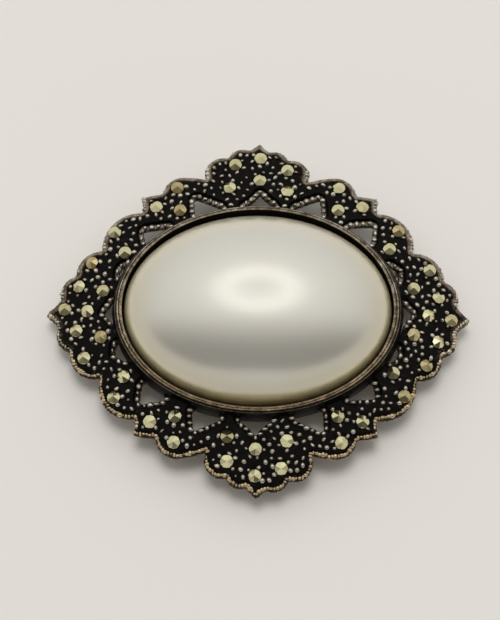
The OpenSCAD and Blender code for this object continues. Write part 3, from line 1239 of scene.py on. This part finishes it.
# Where the camera stands, measured from a point on the brooch's upright axis, and how it is turned
CAMERA_ORIGIN_Z = 4.5 * MM
CAMERA_X = 0.867 * MM
CAMERA_UP = -0.376 * MM
CAMERA_DISTANCE = 231.3 * MM
CAMERA_YAW = math.radians(-2.09)
CAMERA_ROLL = math.radians(1.37)
CAMERA_LENS = 119.6


def build_camera():
    """Camera above the near side, turned and rolled a little from square."""
    elevation = bpy.context.scene.brooch_stage.elevation
    lift, reach = math.sin(elevation), math.cos(elevation)
    roll = CAMERA_ROLL
    centre = Vector(
        (
            -CAMERA_X,
            -CAMERA_UP * lift - CAMERA_DISTANCE * reach,
            -CAMERA_UP * reach + CAMERA_DISTANCE * lift,
        )
    )
    forward = Vector((0, reach, -lift))
    right = Vector((1, 0, 0))
    up = Vector((0, lift, reach))
    right, up = right * math.cos(roll) - up * math.sin(roll), right * math.sin(roll) + up * math.cos(roll)
    turn = Matrix.Rotation(-CAMERA_YAW, 3, "Z")
    centre, forward, right, up = (turn @ v for v in (centre, forward, right, up))
    camera = bpy.data.cameras.new("camera")
    camera.lens = CAMERA_LENS
    camera.clip_start = 0.01
    camera.clip_end = 20
    made = linked("camera", camera)
    axes = Matrix((right, up, -forward)).transposed().to_4x4()
    made.matrix_world = Matrix.Translation(centre + Vector((0, 0, CAMERA_ORIGIN_Z))) @ axes
    bpy.context.scene.camera = made


# ---------------------------------------------------------------- operators


def dress(made, slot, *nodes):
    """Makes a piece move with the brooch's body and hides the CAD nodes that it stands for; the slot, its
    finish, is not used.
    """
    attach(made, "brooch")
    if nodes:
        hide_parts(*nodes)


def paint(node, material):
    """Gives a CAD node that keeps its shape a better material."""
    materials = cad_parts[node].data.materials
    for i in range(len(materials)):
        materials[i] = material


class BROOCH_OT_stage(bpy.types.Operator):
    """Makes the floor, the soft light and the camera."""

    bl_idname = "brooch.stage"
    bl_label = "Stage"

    def execute(self, context):
        build_floor()
        build_world()
        build_lights(Vector((0, 0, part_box("pearl_cabochon")[1].z)))
        build_camera()
        context.scene.view_settings.view_transform = "Standard"
        return {"FINISHED"}


class BROOCH_OT_border(bpy.types.Operator):
    """Makes the cast openwork border on its CAD outline."""

    bl_idname = "brooch.border"
    bl_label = "Border"

    def execute(self, context):
        dress(build_border(border_plan()), "oxidised_silver", "border_frame")
        return {"FINISHED"}


class BROOCH_OT_grains(bpy.types.Operator):
    """Scatters the raised grains over the field and lines the ribbons and the rounded edge with beads."""

    bl_idname = "brooch.grains"
    bl_label = "Grains and milgrain"

    def execute(self, context):
        grains = context.scene.brooch_grains
        plan = border_plan()
        values = {
            "Diameter": grains.diameter,
            "Variation": grains.variation,
            "Foot Wear": grains.foot_wear,
            "Seed": grains.seed,
            "Material": oxidised_silver("grain_silver", 0.4, 0.26, with_painted_reflection=False),
        }
        spin = {"Tilt": grains.tilt, "Least Spin": 0.0, "Most Spin": math.tau}
        ribbon = {"Diameter": grains.bead_diameter, "Pitch": grains.bead_pitch}
        edge = {
            "Diameter": grains.edge_diameter,
            "Pitch": grains.edge_pitch,
            "Variation": grains.edge_variation,
            "Foot Wear": grains.edge_wear,
            "Material": oxidised_silver("edge_silver_painted_reflection", 0.4, 0.3),
        }
        places = [plan.raised(point, BEAD_DEPTH) for point in grain_places(plan)]
        axes = [plan.square_to(place) for place in places]
        made = grown("border_grains", places, [], scatter_tree(), {**values, **spin}, axes)
        dress(made, "oxidised_silver")
        tree = milgrain_tree()
        made = grown("ribbon_milgrain", *ribbon_runs(plan), tree, {**values, **ribbon})
        dress(made, "oxidised_silver")
        made = grown("edge_milgrain", *outline_runs(plan), tree, {**values, **edge})
        dress(made, "oxidised_silver")
        return {"FINISHED"}


class BROOCH_OT_stones(bpy.types.Operator):
    """Sets a cut marcasite in every seat."""

    bl_idname = "brooch.stones"
    bl_label = "Marcasites"

    def execute(self, context):
        stones = context.scene.brooch_stones
        plan = border_plan()
        template = cut_stone()
        values = {
            "Stone": template,
            "Tilt": stones.tilt,
            "Least Spin": stones.spin - stones.tilt,
            "Most Spin": stones.spin + stones.tilt,
            "Seed": stones.seed,
            "Material": marcasite_material(),
        }
        axes = [plan.square_to(place) for place in plan.stones]
        made = grown("marcasites", plan.stones, [], stone_tree(), values, axes)
        bpy.data.objects.remove(template)
        dress(made, "marcasite", *STONE_NODES)
        return {"FINISHED"}


class BROOCH_OT_bezel(bpy.types.Operator):
    """Makes the bezel cup with its grooved rim."""

    bl_idname = "brooch.bezel"
    bl_label = "Bezel"

    def execute(self, context):
        dress(build_bezel(), "worn_silver", "bezel_cup")
        return {"FINISHED"}


class BROOCH_OT_pearl(bpy.types.Operator):
    """Makes the pearl cabochon and paints the pad and the cement under it."""

    bl_idname = "brooch.pearl"
    bl_label = "Pearl"

    def execute(self, context):
        finish = context.scene.brooch_finish
        dress(build_pearl(), "pearl", "pearl_cabochon")
        paint("pearl_pad", board("card", finish.card, 0.5 * MM))
        paint("pearl_cement", board("cement", finish.cement, 0.3 * MM))
        return {"FINISHED"}


class BROOCH_OT_findings(bpy.types.Operator):
    """Gives the hinge, the pin stem and the catch their metals."""

    bl_idname = "brooch.findings"
    bl_label = "Hinge, pin and catch"

    def execute(self, context):
        finish = context.scene.brooch_finish
        metal = bright_metal("findings", finish.findings, 0.28, 0.12 * MM)
        steel = bright_metal("pin_steel", finish.steel, 0.2, 0.08 * MM)
        for node in ("hinge_bracket", "hinge_rivet", "catch_body", "catch_rotor"):
            paint(node, metal)
        paint("pin_stem", steel)
        return {"FINISHED"}


class BROOCH_PT_panel(bpy.types.Panel):
    """Shows every setting and lists the brooch's pieces in the order they are made."""

    bl_idname = "BROOCH_PT_panel"
    bl_label = "Brooch"
    bl_space_type = "VIEW_3D"
    bl_region_type = "UI"
    bl_category = "Brooch"

    def draw(self, context):
        for group, name in SETTINGS.items():
            box = self.layout.box()
            box.label(text=group.__doc__)
            for setting in group.__annotations__:
                box.prop(getattr(context.scene, name), setting)
        for operator in PIECES:
            self.layout.operator(operator.bl_idname)


SETTINGS = {
    BorderSettings: "brooch_border",
    GrainSettings: "brooch_grains",
    StoneSettings: "brooch_stones",
    BezelSettings: "brooch_bezel",
    PearlSettings: "brooch_pearl",
    FinishSettings: "brooch_finish",
    StageSettings: "brooch_stage",
}
PIECES = (
    BROOCH_OT_stage,
    BROOCH_OT_border,
    BROOCH_OT_grains,
    BROOCH_OT_stones,
    BROOCH_OT_bezel,
    BROOCH_OT_pearl,
    BROOCH_OT_findings,
)


def register():
    for group, name in SETTINGS.items():
        bpy.utils.register_class(group)
        setattr(bpy.types.Scene, name, PointerProperty(type=group))
    for operator in PIECES:
        bpy.utils.register_class(operator)
    bpy.utils.register_class(BROOCH_PT_panel)


def unregister():
    bpy.utils.unregister_class(BROOCH_PT_panel)
    for operator in reversed(PIECES):
        bpy.utils.unregister_class(operator)
    for group, name in reversed(SETTINGS.items()):
        delattr(bpy.types.Scene, name)
        bpy.utils.unregister_class(group)


def main():
    register()
    bpy.ops.brooch.stage()
    bpy.ops.brooch.border()
    bpy.ops.brooch.grains()
    bpy.ops.brooch.stones()
    bpy.ops.brooch.bezel()
    bpy.ops.brooch.pearl()
    bpy.ops.brooch.findings()


if __name__ == "__main__":
    main()
